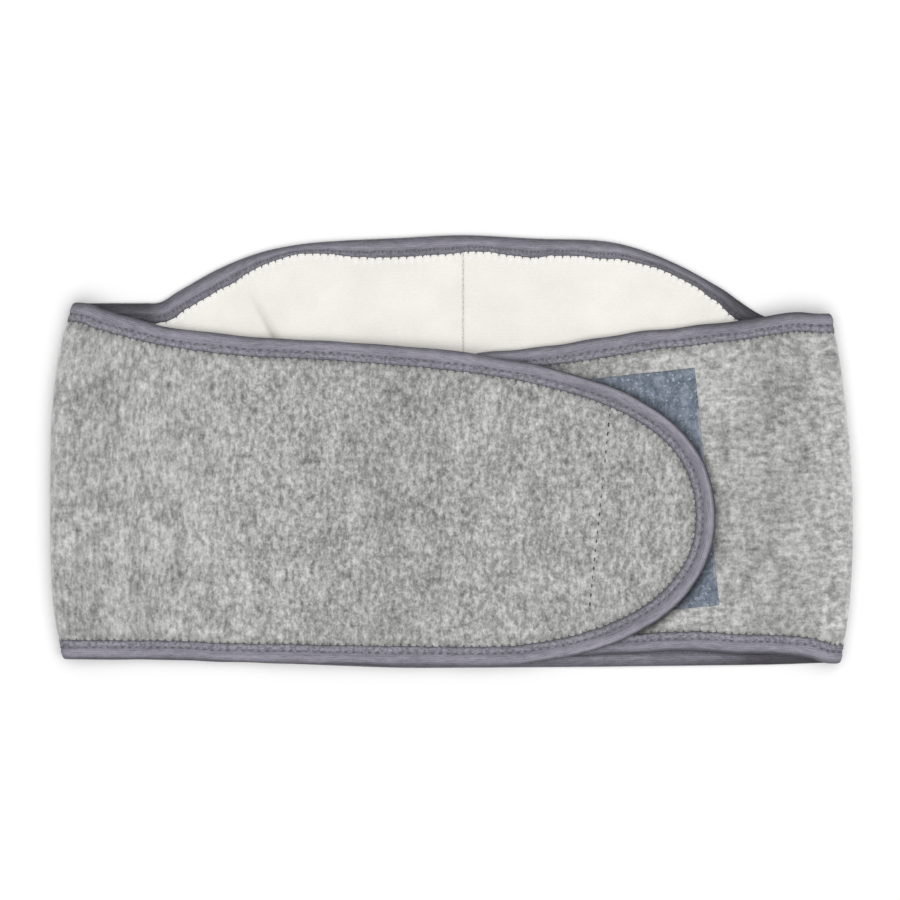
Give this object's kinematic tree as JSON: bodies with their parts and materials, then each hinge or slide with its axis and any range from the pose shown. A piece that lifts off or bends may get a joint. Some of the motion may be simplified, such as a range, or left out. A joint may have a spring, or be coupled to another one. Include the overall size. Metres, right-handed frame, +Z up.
{
  "type": "abdominal binder",
  "caption": "Wide knitted binder with a fleece lining, bound all round, wrapped into a loop and closed at the front with a rounded hook end on a loop patch, laid flat.",
  "frame": {"origin": "centre of the part's bounding box in plan, on the surface that its back lies on", "axes": "+X to the right of the laid belt, +Y towards its upper edge, +Z up through the layers, from the back to the fronts"},
  "size_m": [0.4077, 0.2199, 0.0154],
  "materials": {
    "outer_knit": "marled grey brushed knit, matt and slightly fuzzy",
    "lining_fleece": "cream fleece, matt, soft nap",
    "binding_tape": "slate lavender folded binding with two rows of stitches",
    "loop_tape": "blue-grey brushed loop fabric",
    "hook_tape": "blue-grey hook tape"
  },
  "bodies": {
    "root": {"outer_left": "outer_knit", "outer_right": "outer_knit", "lining_left": "lining_fleece", "lining_right": "lining_fleece", "edge_binding": "binding_tape", "loop_patch": "loop_tape", "hook_patch": "hook_tape"}
  },
  "joints": []
}
